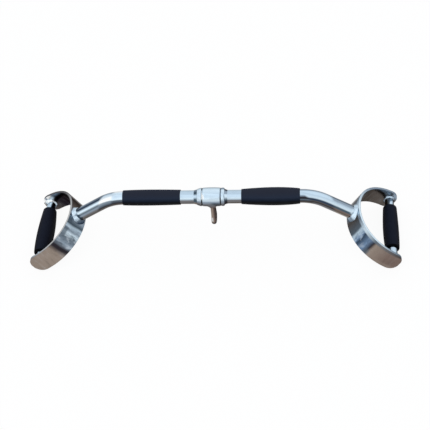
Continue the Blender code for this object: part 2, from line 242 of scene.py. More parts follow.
def add_lamp(name, place, size, brightness):
    """A square soft lamp that faces the object; brightness is that of its own surface."""
    data = bpy.data.lights.new(name, "AREA")
    data.shape, data.size = "SQUARE", size
    data.energy = brightness * math.pi * size * size
    lamp = bpy.data.objects.new(name, data)
    bpy.context.scene.collection.objects.link(lamp)
    lamp.location = place
    lamp.rotation_euler = (HUB - Vector(place)).to_track_quat("-Z", "Y").to_euler()


def start():
    """Leave edit mode and deselect everything."""
    if bpy.context.mode != "OBJECT":
        bpy.ops.object.mode_set(mode="OBJECT")
    bpy.ops.object.select_all(action="DESELECT")


def add_floor():
    start()
    bpy.ops.mesh.primitive_plane_add(size=8, location=(0, 0, -0.0002))
    floor = bpy.context.object
    floor.name = "floor"
    paint = Finish("floor")
    paint.surface(Base_Color=(0.96, 0.96, 0.96, 1), Roughness=0.9, Specular_IOR_Level=0.0)
    light = paint.tree.nodes.new("ShaderNodeLightPath").outputs
    camera_ray, glossy, through = (Wire(paint, light[name]) for name in
                                   ("Is Camera Ray", "Is Glossy Ray", "Is Transmission Ray"))
    glow = paint.node("Emission", values={"Color": WHITE, "Strength": 1.0})
    shown = paint.node("MixShader", values={0: (camera_ray + glossy + through) * 0.92,
                                            1: Wire(paint, paint.shader.outputs[0]), 2: glow})
    paint.feed(paint.tree.nodes["Material Output"].inputs["Surface"], shown)
    floor.data.materials.append(paint.material)


add_sky()
add_lamp("window_lamp", (-1.3, -1.5, 2.3), 4.0, 0.18)
add_lamp("back_lamp", (1.6, 1.2, 1.9), 3.0, 0.14)
add_floor()
print("lights:", [lamp.name for lamp in bpy.data.lights])

# %% [markdown]
# Nearly all pieces of the bar are round or bent from flat stock, so a few helpers do most of the
# work. A line is drawn by extruding one corner after another and is then spun round an axis, as on
# a lathe. Sharp edges get a small radius with a Bevel modifier, because no real edge is perfectly
# sharp and the radius is what catches the light.

# %% Helpers for modelling
def select_only(piece):
    start()
    piece.select_set(True)
    bpy.context.view_layer.objects.active = piece


def draw_line(points):
    """Draw an open line, one extruded corner at a time, and stay in edit mode."""
    start()
    bpy.ops.mesh.primitive_plane_add(size=0.001, location=points[0])
    bpy.ops.object.mode_set(mode="EDIT")
    bpy.ops.mesh.select_all(action="SELECT")
    bpy.ops.mesh.merge(type="CENTER")
    for here, there in zip(points, points[1:]):
        step = Vector(there) - Vector(here)
        bpy.ops.mesh.extrude_vertices_move(TRANSFORM_OT_translate={"value": step})


def turn(profile, centre=HUB, axis=(1, 0, 0), outward=(0, 0, 1), steps=96):
    """Turn a closed profile of (distance along the axis, radius) pairs on a lathe."""
    centre, axis, outward = Vector(centre), Vector(axis), Vector(outward)
    draw_line([centre + axis * along + outward * radius for along, radius in profile + profile[:1]])
    bpy.ops.mesh.select_all(action="SELECT")
    bpy.ops.mesh.spin(steps=steps, angle=math.tau, center=centre, axis=axis)
    bpy.ops.mesh.select_all(action="SELECT")
    bpy.ops.mesh.remove_doubles(threshold=1e-6)
    bpy.ops.mesh.normals_make_consistent(inside=False)
    bpy.ops.object.mode_set(mode="OBJECT")
    return bpy.context.object


def apply(piece, kind, **settings):
    """Add a modifier and apply it at once."""
    select_only(piece)
    modifier = piece.modifiers.new("step", kind)
    for name, value in settings.items():
        setattr(modifier, name, value)
    bpy.ops.object.modifier_apply(modifier="step")


def round_edges(piece, width, segments=3, angle=30):
    apply(piece, "BEVEL", width=width, segments=segments, limit_method="ANGLE",
          angle_limit=math.radians(angle))


def move_points(piece, rule):
    """Move each point of a piece to where the rule says."""
    start()
    for point in piece.data.vertices:
        point.co = rule(point.co)
    piece.data.update()


def settle(piece):
    """Put a piece's place in its mesh, with its object at the origin, out of edit mode."""
    select_only(piece)
    bpy.ops.object.transform_apply(location=True, rotation=True, scale=True)
    return piece


def face_outwards(piece):
    """Turn all faces of a closed piece outwards."""
    select_only(piece)
    bpy.ops.object.mode_set(mode="EDIT")
    bpy.ops.mesh.select_all(action="SELECT")
    bpy.ops.mesh.normals_make_consistent(inside=False)
    bpy.ops.object.mode_set(mode="OBJECT")
    return piece


def copy_of(piece, place):
    """A copy with its own mesh, moved by a matrix."""
    select_only(piece)
    bpy.ops.object.duplicate()
    copy = bpy.context.object
    copy.matrix_world = place @ copy.matrix_world
    return settle(copy)


def fit(piece, name, body, node, smooth=40):
    """Name a finished piece, smooth it and let it stand for its CAD node."""
    settle(piece)
    piece.name = piece.data.name = name
    bpy.ops.object.shade_smooth_by_angle(angle=math.radians(smooth))
    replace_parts(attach(piece, body), node)
    size = [round(1000 * v, 1) for v in piece.dimensions]
    print(f"{name}: {size} mm, {len(piece.data.vertices)} points")
    return piece


print("the camera sees", len(frame["nodes"]), "CAD nodes")

# %% [markdown]
# The bar is one length of 28 mm round stock, bent down at both ends on a tube bender. So it is made
# in the same way: a circle is extruded to where the bend starts, spun through the bend's angle
# round the bender's axis, and extruded on as the straight arm. Half the bar is enough, because a
# Mirror modifier makes the other half. The arm's end stops inside the strap, where no one sees it.

# %% The bar
BAR_RADIUS = 0.014
BEND_START, BEND_RADIUS, BEND_ANGLE = 0.1819, 0.088, math.radians(33)
ARM_LENGTH = 0.093                      # from the bend point to the strap's outer face
ROUND = 96                              # sides of a large round piece


def bend_bar():
    start()
    bpy.ops.mesh.primitive_circle_add(vertices=ROUND, radius=BAR_RADIUS, location=HUB,
                                      rotation=(0, math.pi / 2, 0))
    bpy.ops.object.mode_set(mode="EDIT")
    bpy.ops.mesh.select_all(action="SELECT")
    for reach in (0.06, 0.06, BEND_START - 0.12):
        bpy.ops.mesh.extrude_region_move(TRANSFORM_OT_translate={"value": (reach, 0, 0)})
    bpy.ops.mesh.spin(steps=20, angle=BEND_ANGLE, axis=(0, -1, 0),
                      center=(BEND_START, 0, AXIS_HEIGHT - BEND_RADIUS))
    bend_end = BEND_START + BEND_RADIUS * math.sin(BEND_ANGLE)
    arm = ARM_LENGTH + 0.0015 - BEND_RADIUS * math.tan(BEND_ANGLE / 2)
    way = Vector((math.cos(BEND_ANGLE), 0, -math.sin(BEND_ANGLE)))
    for share in (0.5, 0.5):
        bpy.ops.mesh.extrude_region_move(TRANSFORM_OT_translate={"value": way * arm * share})
    bpy.ops.mesh.edge_face_add()
    bpy.ops.object.mode_set(mode="OBJECT")
    print("the bend ends at x", round(1000 * bend_end, 1), "mm")
    bar = settle(bpy.context.object)
    apply(bar, "MIRROR", use_axis=(True, False, False), merge_threshold=1e-5)
    return face_outwards(bar)


bent_bar = fit(bend_bar(), "bent_bar", "bar", "main_bar")

# %% [markdown]
# The sleeve is a short turned tube with a slight crown. It turns on two flanged nylon bushes, whose
# flanges show as dark lines at its ends, between two fixed collars. In the photograph the left
# collar looks like a plain cone towards the bar, and the right one has a flat rim with a rounded
# corner. All of them are turned from a drawn profile.

# %% Sleeve, bushes and collars
SLEEVE_HALF, SLEEVE_RADIUS, SLEEVE_BORE, SLEEVE_CROWN = 0.019, 0.0196, 0.0168, 0.0007
LEFT_TRIM, RIGHT_TRIM = 0.0005, 0.0020  # the sleeve's ends are turned this much shorter


def turn_sleeve():
    profile = [(LEFT_TRIM - SLEEVE_HALF, SLEEVE_BORE)]
    for k in range(17):
        share = k / 8 - 1
        along = share * SLEEVE_HALF - max(share, 0) * RIGHT_TRIM - min(share, 0) * LEFT_TRIM
        profile.append((along, SLEEVE_RADIUS - SLEEVE_CROWN * share ** 2))
    piece = turn(profile + [(SLEEVE_HALF - RIGHT_TRIM, SLEEVE_BORE)])
    round_edges(piece, 0.0005, 4)
    return piece


turned_sleeve = fit(turn_sleeve(), "turned_sleeve", "hanger", "hanger_sleeve")

bush = turn([(0.004, 0.0143), (0.004, 0.0165), (0.0191, 0.0165), (0.0191, 0.0183),
             (0.0205, 0.0183), (0.0205, 0.0143)])
round_edges(bush, 0.0003, 2)
half_turn = Matrix.Rotation(math.pi, 4, "Z")
bushes = {"left": copy_of(bush, half_turn),
          "right": copy_of(bush, Matrix.Translation((-RIGHT_TRIM, 0, 0)))}
bpy.data.objects.remove(bush)
for side, piece in bushes.items():
    fit(piece, side + "_flanged_bush", "hanger", side + "_bush")

right_ring = turn([(0.0193, 0.0143), (0.0193, 0.0187), (0.0246, 0.0187), (0.0262, 0.0170),
                   (0.0262, 0.0143)])
left_ring = turn([(-0.0211, 0.0143), (-0.0211, 0.0187), (-0.0238, 0.0186), (-0.0300, 0.0166),
                  (-0.0300, 0.0143)])
rings = {"left": left_ring, "right": right_ring}
for side, piece in rings.items():
    round_edges(piece, 0.0006, 4, angle=15)
    fit(piece, side + "_stop_ring", "bar", side + "_collar")

# %% [markdown]
# Each collar is held by a thin weld in the corner behind it. It is hollow, so it mirrors the dark
# surroundings, and the photograph shows it as dark notches. A short concave profile is turned, and
# its middle is pushed in and out a little, as the passes of a weld do. It starts under the collar's
# end and runs out flush on the bar.

# %% Collar welds
def turn_collar_weld(sign, start, length):
    profile = [(0, 0.0138), (0, 0.0161), (0.2, 0.0156), (0.4, 0.01515), (0.6, 0.01475), (0.8, 0.0144),
               (1, 0.01405), (1, 0.0138)]
    piece = settle(turn([(sign * (start + share * length), radius) for share, radius in profile]))

    def ripple(place):
        offset = place - HUB
        angle = math.atan2(offset.y, offset.z)
        radius = math.hypot(offset.y, offset.z)
        thick = max(radius - 0.0141, 0)
        wave = 1 + thick * (3.0 * math.sin(34 * angle + sign) + 3.5 * math.sin(11 * angle))
        return HUB + Vector((offset.x, offset.y * wave, offset.z * wave))

    move_points(piece, ripple)
    return piece


collar_welds = {}
for side, sign, start_at, length in (("left", -1, 0.0295, 0.0071), ("right", 1, 0.0257, 0.0064)):
    collar_welds[side] = fit(turn_collar_weld(sign, start_at, length), side + "_ring_weld", "bar",
                             side + "_collar_weld", smooth=60)

# %% [markdown]
# The hanging eye is a U of 8 mm rod. A circle is extruded down as the first leg, spun half round
# for the bottom and extruded up again as the second leg. The legs' upper ends are then shaped to
# the sleeve's round side, and end inside its wall.

# %% The eye
EYE_RADIUS, EYE_LEG_Y, EYE_CENTRE_DROP = 0.004, 0.012, 0.0583
LEG_TOP_DROP, WALL_MIDDLE = 0.014, 0.0182   # legs are drawn up to here, and shaped to this radius


def bend_eye():
    start()
    bottom = AXIS_HEIGHT - EYE_CENTRE_DROP
    bpy.ops.mesh.primitive_circle_add(vertices=48, radius=EYE_RADIUS,
                                      location=(0, -EYE_LEG_Y, AXIS_HEIGHT - LEG_TOP_DROP))
    bpy.ops.object.mode_set(mode="EDIT")
    bpy.ops.mesh.select_all(action="SELECT")
    leg = EYE_CENTRE_DROP - LEG_TOP_DROP
    for _ in range(6):
        bpy.ops.mesh.extrude_region_move(TRANSFORM_OT_translate={"value": (0, 0, -leg / 6)})
    bpy.ops.mesh.spin(steps=40, angle=math.pi, axis=(-1, 0, 0), center=(0, 0, bottom))
    for _ in range(6):
        bpy.ops.mesh.extrude_region_move(TRANSFORM_OT_translate={"value": (0, 0, leg / 6)})
    bpy.ops.mesh.edge_face_add()
    bpy.ops.mesh.select_all(action="DESELECT")
    bpy.ops.mesh.select_non_manifold()
    bpy.ops.mesh.edge_face_add()
    eye = face_outwards(settle(bpy.context.object))

    def into_sleeve(place):
        if place.z < AXIS_HEIGHT - 0.0142:
            worn_flat = 1 + 0.26 * min(max((0.082 - place.z) / 0.022, 0), 1)
            return Vector((place.x * worn_flat, place.y, place.z))
        return Vector((place.x, place.y, AXIS_HEIGHT - math.sqrt(WALL_MIDDLE ** 2 - place.y ** 2)))

    move_points(eye, into_sleeve)
    return eye


rod_eye = fit(bend_eye(), "rod_eye", "hanger", "hanger_eye")

# %% [markdown]
# Where a leg of the eye meets the sleeve, the weld spreads into a wide, thin skirt. A hollow
# profile is turned round the leg as if the sleeve were flat, and then wrapped on the sleeve's
# round side, with its height kept along the leg.

# %% Eye welds
def wrap_on_sleeve(place):
    """Take a point from a flat sleeve to the round one; its z is the height off the sleeve."""
    across = place.y - EYE_LEG_Y
    near = max(-EYE_RADIUS, min(EYE_RADIUS, across))
    angle = math.asin((EYE_LEG_Y + near) / SLEEVE_RADIUS) + (across - near) / SLEEVE_RADIUS
    share = place.x / SLEEVE_HALF
    radius = SLEEVE_RADIUS - SLEEVE_CROWN * share ** 2
    return Vector((place.x, radius * math.sin(angle), AXIS_HEIGHT - radius * math.cos(angle) - place.z))


def flare_weld():
    profile = [(0.0005, 0.0036), (-0.0055, 0.0036), (-0.0052, 0.0042)]
    for k in range(1, 9):
        share = k / 8
        profile.append((-0.0051 * (1 - share) ** 2.2 - 0.0002, 0.0042 + 0.0064 * share ** 0.9))
    profile += [(-0.0001, 0.0109), (0.0006, 0.0111)]
    piece = turn([(-height, radius) for height, radius in profile],
                 centre=(0, EYE_LEG_Y, 0), axis=(0, 0, 1), outward=(1, 0, 0), steps=64)
    settle(piece)

    def rough(place):
        pushed = noise.noise(place * 420) * min(max(place.z, 0) * 0.25, 0.00025)
        return wrap_on_sleeve(place + Vector((0, 0, pushed)))

    move_points(piece, rough)
    return face_outwards(piece)         # the wrap has turned them inwards


rear_flare = flare_weld()
flares = {"front": copy_of(rear_flare, half_turn), "rear": rear_flare}
for end, piece in flares.items():
    fit(piece, end + "_eye_flare", "hanger", end + "_eye_weld", smooth=60)

# %% [markdown]
# The D straps are flat bar, 44 by 5 mm, with round ends, bent flatwise round a former. The piece
# starts as the flat blank: a plane of the strap's full length, whose four corners are bevelled
# round. It is cut across every few millimetres by bisect, so that it can bend, given its thickness
# and its small edge radii, and then bent. Each point keeps its place on the flat blank in an
# attribute, so that a finish can follow the strap round its bend. The ends were ground by hand: the
# right strap is a little shorter and squarer than the left one, so each strap gets its own blank.

# %% The D straps
STRAP_WIDTH, STRAP_THICKNESS = 0.044, 0.005
D_DEPTH, HALF_CHORD, D_FULLNESS, LEG_LENGTH = 0.094, 0.090, 2.13, 0.017
CORNERS = {"left": (0.0205, 0), "right": (0.0185, 0.0015)}     # radius, and cut off each end


def strap_line():
    """The strap's outer face seen from its edge: rows of length, depth u, place v and outward."""
    rows = [[0, D_DEPTH + LEG_LENGTH, -HALF_CHORD, Vector((0, -1))]]
    for k in range(2001):
        angle = math.pi * (k / 2000 - 0.5)
        across = abs(math.cos(angle)) ** (2 / D_FULLNESS)
        along = abs(math.sin(angle)) ** (2 / D_FULLNESS)
        side = math.copysign(1, angle)
        outward = Vector((-across ** (D_FULLNESS - 1) / D_DEPTH,
                          side * along ** (D_FULLNESS - 1) / HALF_CHORD)).normalized()
        rows.append([0, D_DEPTH * (1 - across), side * HALF_CHORD * along, outward])
    rows.append([0, D_DEPTH + LEG_LENGTH, HALF_CHORD, Vector((0, 1))])
    for before, row in zip(rows, rows[1:]):
        row[0] = before[0] + math.hypot(row[1] - before[1], row[2] - before[2])
    return rows


STRAP_LINE = strap_line()
STRAP_LENGTH = STRAP_LINE[-1][0]
print("the flat blank is", round(1000 * STRAP_LENGTH, 1), "mm long")


def strap_point(length, inward):
    """Where a point of the strap lies after bending, as (u, v)."""
    length = min(max(length, 0), STRAP_LENGTH)
    low, high = 0, len(STRAP_LINE) - 1
    while high - low > 1:
        middle = (low + high) // 2
        low, high = (middle, high) if STRAP_LINE[middle][0] <= length else (low, middle)
    (a, ua, va, na), (b, ub, vb, nb) = STRAP_LINE[low], STRAP_LINE[high]
    share = (length - a) / (b - a)
    outward = na.lerp(nb, share).normalized()
    return Vector((ua, va)).lerp(Vector((ub, vb)), share) - inward * outward


def cut_blank(corner, shorter):
    start()
    bpy.ops.mesh.primitive_plane_add(size=1)
    blank = bpy.context.object
    half = STRAP_LENGTH / 2 - shorter
    blank.scale = (2 * half, STRAP_WIDTH, 1)
    settle(blank)
    bpy.ops.object.mode_set(mode="EDIT")
    bpy.ops.mesh.select_all(action="SELECT")
    bpy.ops.mesh.bevel(offset=corner, segments=12, affect="VERTICES")
    places = [half - corner + corner * math.sin(math.radians(7.5 * k)) for k in range(12)]
    spare = half - corner
    places += [spare * k / 68 for k in range(1, 68)]
    for place in [0] + places + [-place for place in places]:
        bpy.ops.mesh.select_all(action="SELECT")
        bpy.ops.mesh.bisect(plane_co=(place, 0, 0), plane_no=(1, 0, 0), threshold=2e-5)
    bpy.ops.object.mode_set(mode="OBJECT")
    return blank


def bend_strap(corner, shorter):
    strap = cut_blank(corner, shorter)
    apply(strap, "SOLIDIFY", thickness=STRAP_THICKNESS, offset=-1)
    round_edges(strap, 0.0011, 4, angle=60)
    flat = strap.data.attributes.new("flat", "FLOAT_VECTOR", "POINT")
    for mark, point in zip(flat.data, strap.data.vertices):
        mark.vector = point.co
    tops = sum(1 for face in strap.data.polygons if face.normal.z > 0.9)
    print("blank:", [round(1000 * v, 1) for v in strap.dimensions], "mm,", tops, "outer faces")

    def bent(place):
        u, v = strap_point(place.x + STRAP_LENGTH / 2, -place.z)
        return Vector((u, v, -place.y))

    for face in strap.data.polygons:
        face.material_index = 0 if face.normal.z > 0.9 else 1 if face.normal.z < -0.9 else 2
    move_points(strap, bent)
    return strap


BRACKET = {}
for side, half in (("left", math.pi), ("right", 0)):
    way = Matrix.Rotation(half, 4, "Z")
    reach = BEND_START + BEND_RADIUS * math.tan(BEND_ANGLE / 2) + ARM_LENGTH * math.cos(BEND_ANGLE)
    apex = way @ Vector((reach, 0, AXIS_HEIGHT - ARM_LENGTH * math.sin(BEND_ANGLE)))
    BRACKET[side] = Matrix.Translation(apex) @ way @ Matrix.Rotation(BEND_ANGLE, 4, "Y")

straps = {}
for side, (corner, shorter) in CORNERS.items():
    piece = bend_strap(corner, shorter)
    piece.matrix_world = BRACKET[side] @ piece.matrix_world
    straps[side] = fit(piece, side + "_bent_strap", "bar", side + "_d_strap")

# %% [markdown]
# A 19 mm rod crosses each D, and its ends are welded to the inner faces of the legs. It is a circle,
# extruded from leg to leg, and each end runs a millimetre into its leg.

# %% The handle rods
HANDLE_DEPTH = 0.096                    # of the handle's axis behind the strap's apex
ROD_RADIUS, ROD_REACH = 0.0095, 0.0858


def extrude_rod():
    start()
    bpy.ops.mesh.primitive_circle_add(vertices=64, radius=ROD_RADIUS, fill_type="NGON",
                                      location=(HANDLE_DEPTH, -ROD_REACH, 0),
                                      rotation=(math.pi / 2, 0, 0))
    bpy.ops.object.mode_set(mode="EDIT")
    bpy.ops.mesh.select_all(action="SELECT")
    for share in (0.2, 0.6, 0.2):
        bpy.ops.mesh.extrude_region_move(
            TRANSFORM_OT_translate={"value": (0, 2 * ROD_REACH * share, 0)})
    return face_outwards(settle(bpy.context.object))


rod = extrude_rod()
rods = {"left": copy_of(rod, BRACKET["left"]), "right": rod}
rod.matrix_world = BRACKET["right"] @ rod.matrix_world
for side, piece in rods.items():
    fit(piece, side + "_cross_rod", "bar", side + "_handle_rod")

# %% [markdown]
# The grips are moulded rubber tubes. Their outline is a long soft swell, thickest a little beyond
# the middle, and each of the four in the photograph swells differently. The profile is drawn with
# that swell, turned, and its end corners rounded. The handle grips also lean towards the bar, so
# their points are moved a little to that side, most where the swell is thickest.

# %% The rubber grips
GRIP_LENGTH = 0.119
SWELL_PLACE, SWELL_FLATNESS = 0.57, 0.7


def rise(share):
    """How much of the swell a grip has at a share of its length."""
    share = min(max(share, 0), 1)
    warp = math.log(0.5) / math.log(SWELL_PLACE)
    return max(math.sin(math.pi * share ** warp), 0) ** SWELL_FLATNESS


def turn_grip(hole, wall, swell, length, **place):
    profile = [(0, hole)]
    for k in range(37):
        share = 0.5 - 0.5 * math.cos(math.pi * k / 36)
        profile.append((share * length, hole + wall + swell * rise(share)))
    piece = turn(profile + [(length, hole)], **place)
    round_edges(piece, min(0.0010, 0.7 * wall), 3, angle=50)
    apply(piece, "WELD", merge_threshold=1e-5)
    return settle(piece)


bar_grips, handle_grips = {}, {}
for side, sign, swell in (("left", -1, 0.0011), ("right", 1, 0.0032)):
    grip = turn_grip(0.0143, 0.0011, swell, GRIP_LENGTH,
                     centre=(sign * 0.0625 - 0.0021, 0, AXIS_HEIGHT), axis=(sign, 0, 0))
    bar_grips[side] = fit(grip, side + "_bar_rubber", "bar", side + "_bar_grip")

for side, front, swell, lean, rear, length in (("left", 1, 0.0040, 0.0022, 0.0615, 0.1210),
                                               ("right", -1, 0.0020, 0.0010, 0.0600, 0.1128)):
    grip = turn_grip(0.0098, 0.0046, swell, length, centre=(HANDLE_DEPTH, -front * rear, 0),
                     axis=(0, front, 0), outward=(0, 0, 1))

    def leaning(place, front=front, lean=lean):
        offset = Vector((place.x - HANDLE_DEPTH, 0, place.z))
        if offset.length < 0.0101:
            return place
        share = 0.5 + front * place.y / GRIP_LENGTH
        return place + offset.normalized() * lean * rise(share) * -offset.normalized().x

    move_points(grip, leaning)
    grip.matrix_world = BRACKET[side] @ grip.matrix_world
    handle_grips[side] = fit(grip, side + "_handle_rubber", "bar", side + "_handle_grip")

# %% [markdown]
# A hand-laid weld is a row of small pools, each laid over the last like fallen coins. So one coin
# is made, a squashed sphere, and copied round the joint, a little unevenly. The coins are joined,
# remeshed into one skin and smoothed, which leaves the gentle ripple of a weld under its chrome.

# %% The strap and handle welds
APEX_ROOT, LEG_ROOT = 0.003, 0.0875     # how deep the welds' roots may go into the strap


def lay_weld(places, size, voxel, melting, hide):
    """Copy a coin to each place, melt the row into one skin, and hide its root in the strap."""
    start()
    bpy.ops.mesh.primitive_uv_sphere_add(segments=24, ring_count=14, radius=1)
    coin = bpy.context.object
    coin.scale = size
    settle(coin)
    row = []
    for place in places:
        select_only(coin)
        bpy.ops.object.duplicate()
        bpy.context.object.matrix_world = place
        row.append(bpy.context.object)
    start()
    bpy.data.objects.remove(coin)
    for piece in row:
        piece.select_set(True)
    bpy.context.view_layer.objects.active = row[0]
    bpy.ops.object.join()
    bead = settle(bpy.context.object)
    apply(bead, "REMESH", mode="VOXEL", voxel_size=voxel)
    apply(bead, "SMOOTH", factor=0.5, iterations=melting)
    outermost = max(bead.data.vertices, key=lambda point: point.co.x).index
    bpy.ops.object.mode_set(mode="EDIT")
    bpy.ops.mesh.select_all(action="DESELECT")
    bpy.ops.object.mode_set(mode="OBJECT")
    bead.data.vertices[outermost].select = True
    bpy.ops.object.mode_set(mode="EDIT")
    bpy.ops.mesh.select_linked()
    bpy.ops.mesh.select_all(action="INVERT")
    bpy.ops.mesh.delete(type="VERT")    # crumbs that the remesh leaves
    bpy.ops.object.mode_set(mode="OBJECT")
    move_points(bead, hide)
    return bead


def outer_depth(v):
    """Depth u of the strap's outer face near the arm, at the place v along the handle."""
    share = 1 - (abs(v) / HALF_CHORD) ** D_FULLNESS
    return D_DEPTH * (1 - share ** (1 / D_FULLNESS))


def frame_at(place, tangent, outward):
    """A matrix whose X follows the weld and whose Z points out of the corner."""
    across = outward.cross(tangent).normalized()
    outward = tangent.cross(across).normalized()
    turned = Matrix((tangent.normalized(), across, outward)).transposed().to_4x4()
    return Matrix.Translation(place) @ turned


def under_apex(place):
    """Keep the root of an arm's weld within the strap's thickness."""
    return Vector((min(place.x, outer_depth(place.y) + APEX_ROOT), place.y, place.z))


def under_leg(place):
    """Keep the root of a handle's weld within the leg's thickness."""
    return Vector((place.x, max(-LEG_ROOT, min(LEG_ROOT, place.y)), place.z))


def arm_weld_places(seed, front, count=46):
    places = []
    for k in range(count):
        angle = math.tau * (k + 0.25 * noise.noise(Vector((k * 0.9, seed, 0)))) / count
        around = Vector((0, math.sin(angle), math.cos(angle)))
        root = BAR_RADIUS * around + Vector((outer_depth(BAR_RADIUS * around.y), 0, 0))
        outward = Vector((-0.72, 0, 0)) + around * 0.70
        tangent = Vector((0, math.cos(angle), -math.sin(angle))) + outward * 0.28
        grown = (0.97 + 0.32 * noise.noise(Vector((k * 0.21, seed, 5))) + 0.20 * front * around.y
                 - 0.06 * around.z)
        place = frame_at(root + outward * 0.0006, tangent.normalized(), outward.normalized())
        places.append(place @ Matrix.Scale(grown, 4))
    return places


def handle_weld_places(sign, seed, plump, lobe, count=34):
    places = []
    for k in range(count):
        angle = math.tau * (k + 0.25 * noise.noise(Vector((k * 0.9, seed, 0)))) / count
        around = Vector((math.sin(angle), 0, math.cos(angle)))
        root = Vector((HANDLE_DEPTH, sign * (HALF_CHORD - STRAP_THICKNESS), 0)) + ROD_RADIUS * around
        outward = Vector((0, -0.7 * sign, 0)) + around * 0.72
        tangent = Vector((math.cos(angle), 0, -math.sin(angle))) + outward * 0.28
        grown = plump + 0.50 * noise.noise(Vector((k * 0.27, seed, 5))) + lobe * max(around.z, 0) ** 3
        place = frame_at(root + outward * 0.0004, tangent.normalized(), outward.normalized())
        places.append(place @ Matrix.Scale(grown, 4))
    return places


arm_welds, handle_welds = {}, {}
for side, seed in (("left", 3), ("right", 8)):
    front = 1 if side == "left" else -1
    bead = lay_weld(arm_weld_places(seed, front), (0.0032, 0.0076, 0.0042), 0.0004, 10, under_apex)
    bead.matrix_world = BRACKET[side] @ bead.matrix_world
    arm_welds[side] = fit(bead, side + "_arm_bead", "bar", side + "_arm_weld", smooth=80)
    for end in ("front", "rear"):
        sign = (1 if end == "rear" else -1) * (1 if side == "right" else -1)
        plump, lobe = {"left_rear": (0.74, 0.75), "right_rear": (0.72, 0.14)}.get(f"{side}_{end}", (0.75, 0))
        places = handle_weld_places(sign, seed + sign, plump, lobe)
        bead = lay_weld(places, (0.0025, 0.0052, 0.0034), 0.00035, 9, under_leg)
        bead.matrix_world = BRACKET[side] @ bead.matrix_world
        handle_welds[side, end] = fit(bead, f"{side}_{end}_rod_bead", "bar",
                                      f"{side}_{end}_handle_weld", smooth=80)

# %% [markdown]
# Chrome has almost no colour of its own. What the eye reads as chrome is what it mirrors: a pale
# sky on the upper side, the dark ground below, and thin dark lines where the two meet. A plain
# white studio has none of that, so the bands are painted into the plate's colour, where they turn
# with the piece and look the same in any light. A round piece needs two numbers for that: how far
# along the bar a point is, and how far round it. Both are kept on its points as an attribute, and
# they follow the bend, which plain coordinates would not.

# %% Places on the round pieces
def mark_round(piece):
    """Keep each point's place along the bar, its height over the centreline and its depth."""
    marks = piece.data.attributes.new("round", "FLOAT_VECTOR", "POINT")
    bend_end = Vector((BEND_START + BEND_RADIUS * math.sin(BEND_ANGLE),
                       BEND_RADIUS * (math.cos(BEND_ANGLE) - 1)))
    way = Vector((math.cos(BEND_ANGLE), -math.sin(BEND_ANGLE)))
    for mark, point in zip(marks.data, piece.data.vertices):
        x, z = abs(point.co.x), point.co.z - AXIS_HEIGHT
        turned = math.atan2(x - BEND_START, z + BEND_RADIUS)
        if x < BEND_START:
            along, up = x, z
        elif turned < BEND_ANGLE:
            along = BEND_START + BEND_RADIUS * turned
            up = math.hypot(x - BEND_START, z + BEND_RADIUS) - BEND_RADIUS
        else:
            offset = Vector((x, z)) - bend_end
            along = BEND_START + BEND_RADIUS * BEND_ANGLE + offset.dot(way)
            up = offset.dot(Vector((-way.y, way.x)))
        mark.vector = (math.copysign(along, point.co.x), up, point.co.y)


for piece in [bent_bar, turned_sleeve, *rings.values(), *collar_welds.values(), *bushes.values()]:
    mark_round(piece)

# %% [markdown]
# Chrome takes its look from a handful of tones, whatever it mirrors: earth and sand from the
# ground, ink and navy where two things meet, steel, sky and light from above. They are named once
# and judged. A band is then a rounded place and a tone. Round a piece the place is an
# angle: -90 is underneath, 0 in front, 90 on top and 180 behind. All chrome shares one polish:
# faint clouds where it was handled, a roughness that grows in them, hair scratches, and a very
# slight unevenness of the surface.

# %% Tones and tools for chrome
JET, INK, NAVY, DUSK = (20, 22, 25), (45, 42, 48), (50, 65, 85), (72, 88, 100)
SLATE, BLUE, STEEL = (95, 108, 120), (110, 135, 165), (140, 155, 170)
SKY, LIGHT, GLARE, PEARL = (195, 215, 230), (220, 238, 250), (250, 252, 252), (210, 212, 212)
EARTH, CLAY, UMBER, SAND = (55, 48, 45), (88, 82, 78), (118, 102, 95), (145, 132, 122)
ASH = (112, 112, 115)


def steps(*stops):
    """Ramp stops from (share, tone) pairs."""
    return [(place, seen(*tone)) for place, tone in stops]


def bands(*stops):
    """Ramp stops from (degrees round a piece, tone) pairs."""
    return [(angle / 360 + 0.25, seen(*tone)) for angle, tone in stops]


def round_place(finish, sway):
    """Place along the bar, and turn round it from 0 to 1, with a slow sway."""
    along, up, back = finish.split(finish.node("Attribute", {"attribute_name": "round"}, output="Vector"))
    turned = finish.node("Math", {"operation": "ARCTAN2"}, {0: back, 1: up}) / math.tau + 0.5
    return along, turned + (finish.noise(26, 2.0) - 0.5) * sway


def polish(finish, colour, roughness=0.07, haze=0.10, wave=0.00012, wave_scale=70, rim=0.4):
    """Give a chrome colour its handling marks, scratches and slight unevenness."""
    handled = finish.ease(finish.noise(48, 4.0, roughness=0.6), 0.45, 0.75)
    tone = finish.mix(handled * 0.22, colour, finish.mix(1.0, colour, seen(205, 208, 212), "MULTIPLY"))
    where = finish.node("Mapping", values={"Vector": finish.node("TexCoord", output="Object"),
                                           "Rotation": (0.4, 0.2, 0.7), "Scale": (1, 14, 14)})
    scratch = finish.ease(finish.noise(120, 3.0, where, roughness=0.7), 0.66, 0.74)
    uneven = finish.bump(finish.noise(wave_scale, 2.0), wave)
    marked = finish.bump(scratch, 0.00001, 0.35, uneven)
    return finish.surface(Base_Color=tone, Metallic=1.0, Normal=marked, Specular_Tint=(rim, rim, rim, 1),
                          Roughness=handled * haze + scratch * 0.10 + roughness)


# %% [markdown]
# The bar's level middle mirrors sky down to a straight line and grey ground below it. On the left
# arm a broad dark band lies on top, with a bright one under it and brown ground below that. The
# left bend is the brightest place of all. The right arm has one bright band over one dark line,
# which begins as a dark lens just beyond the grip. So the bar is painted in seven lengths, and
# each one fades into the next along a slanted border.

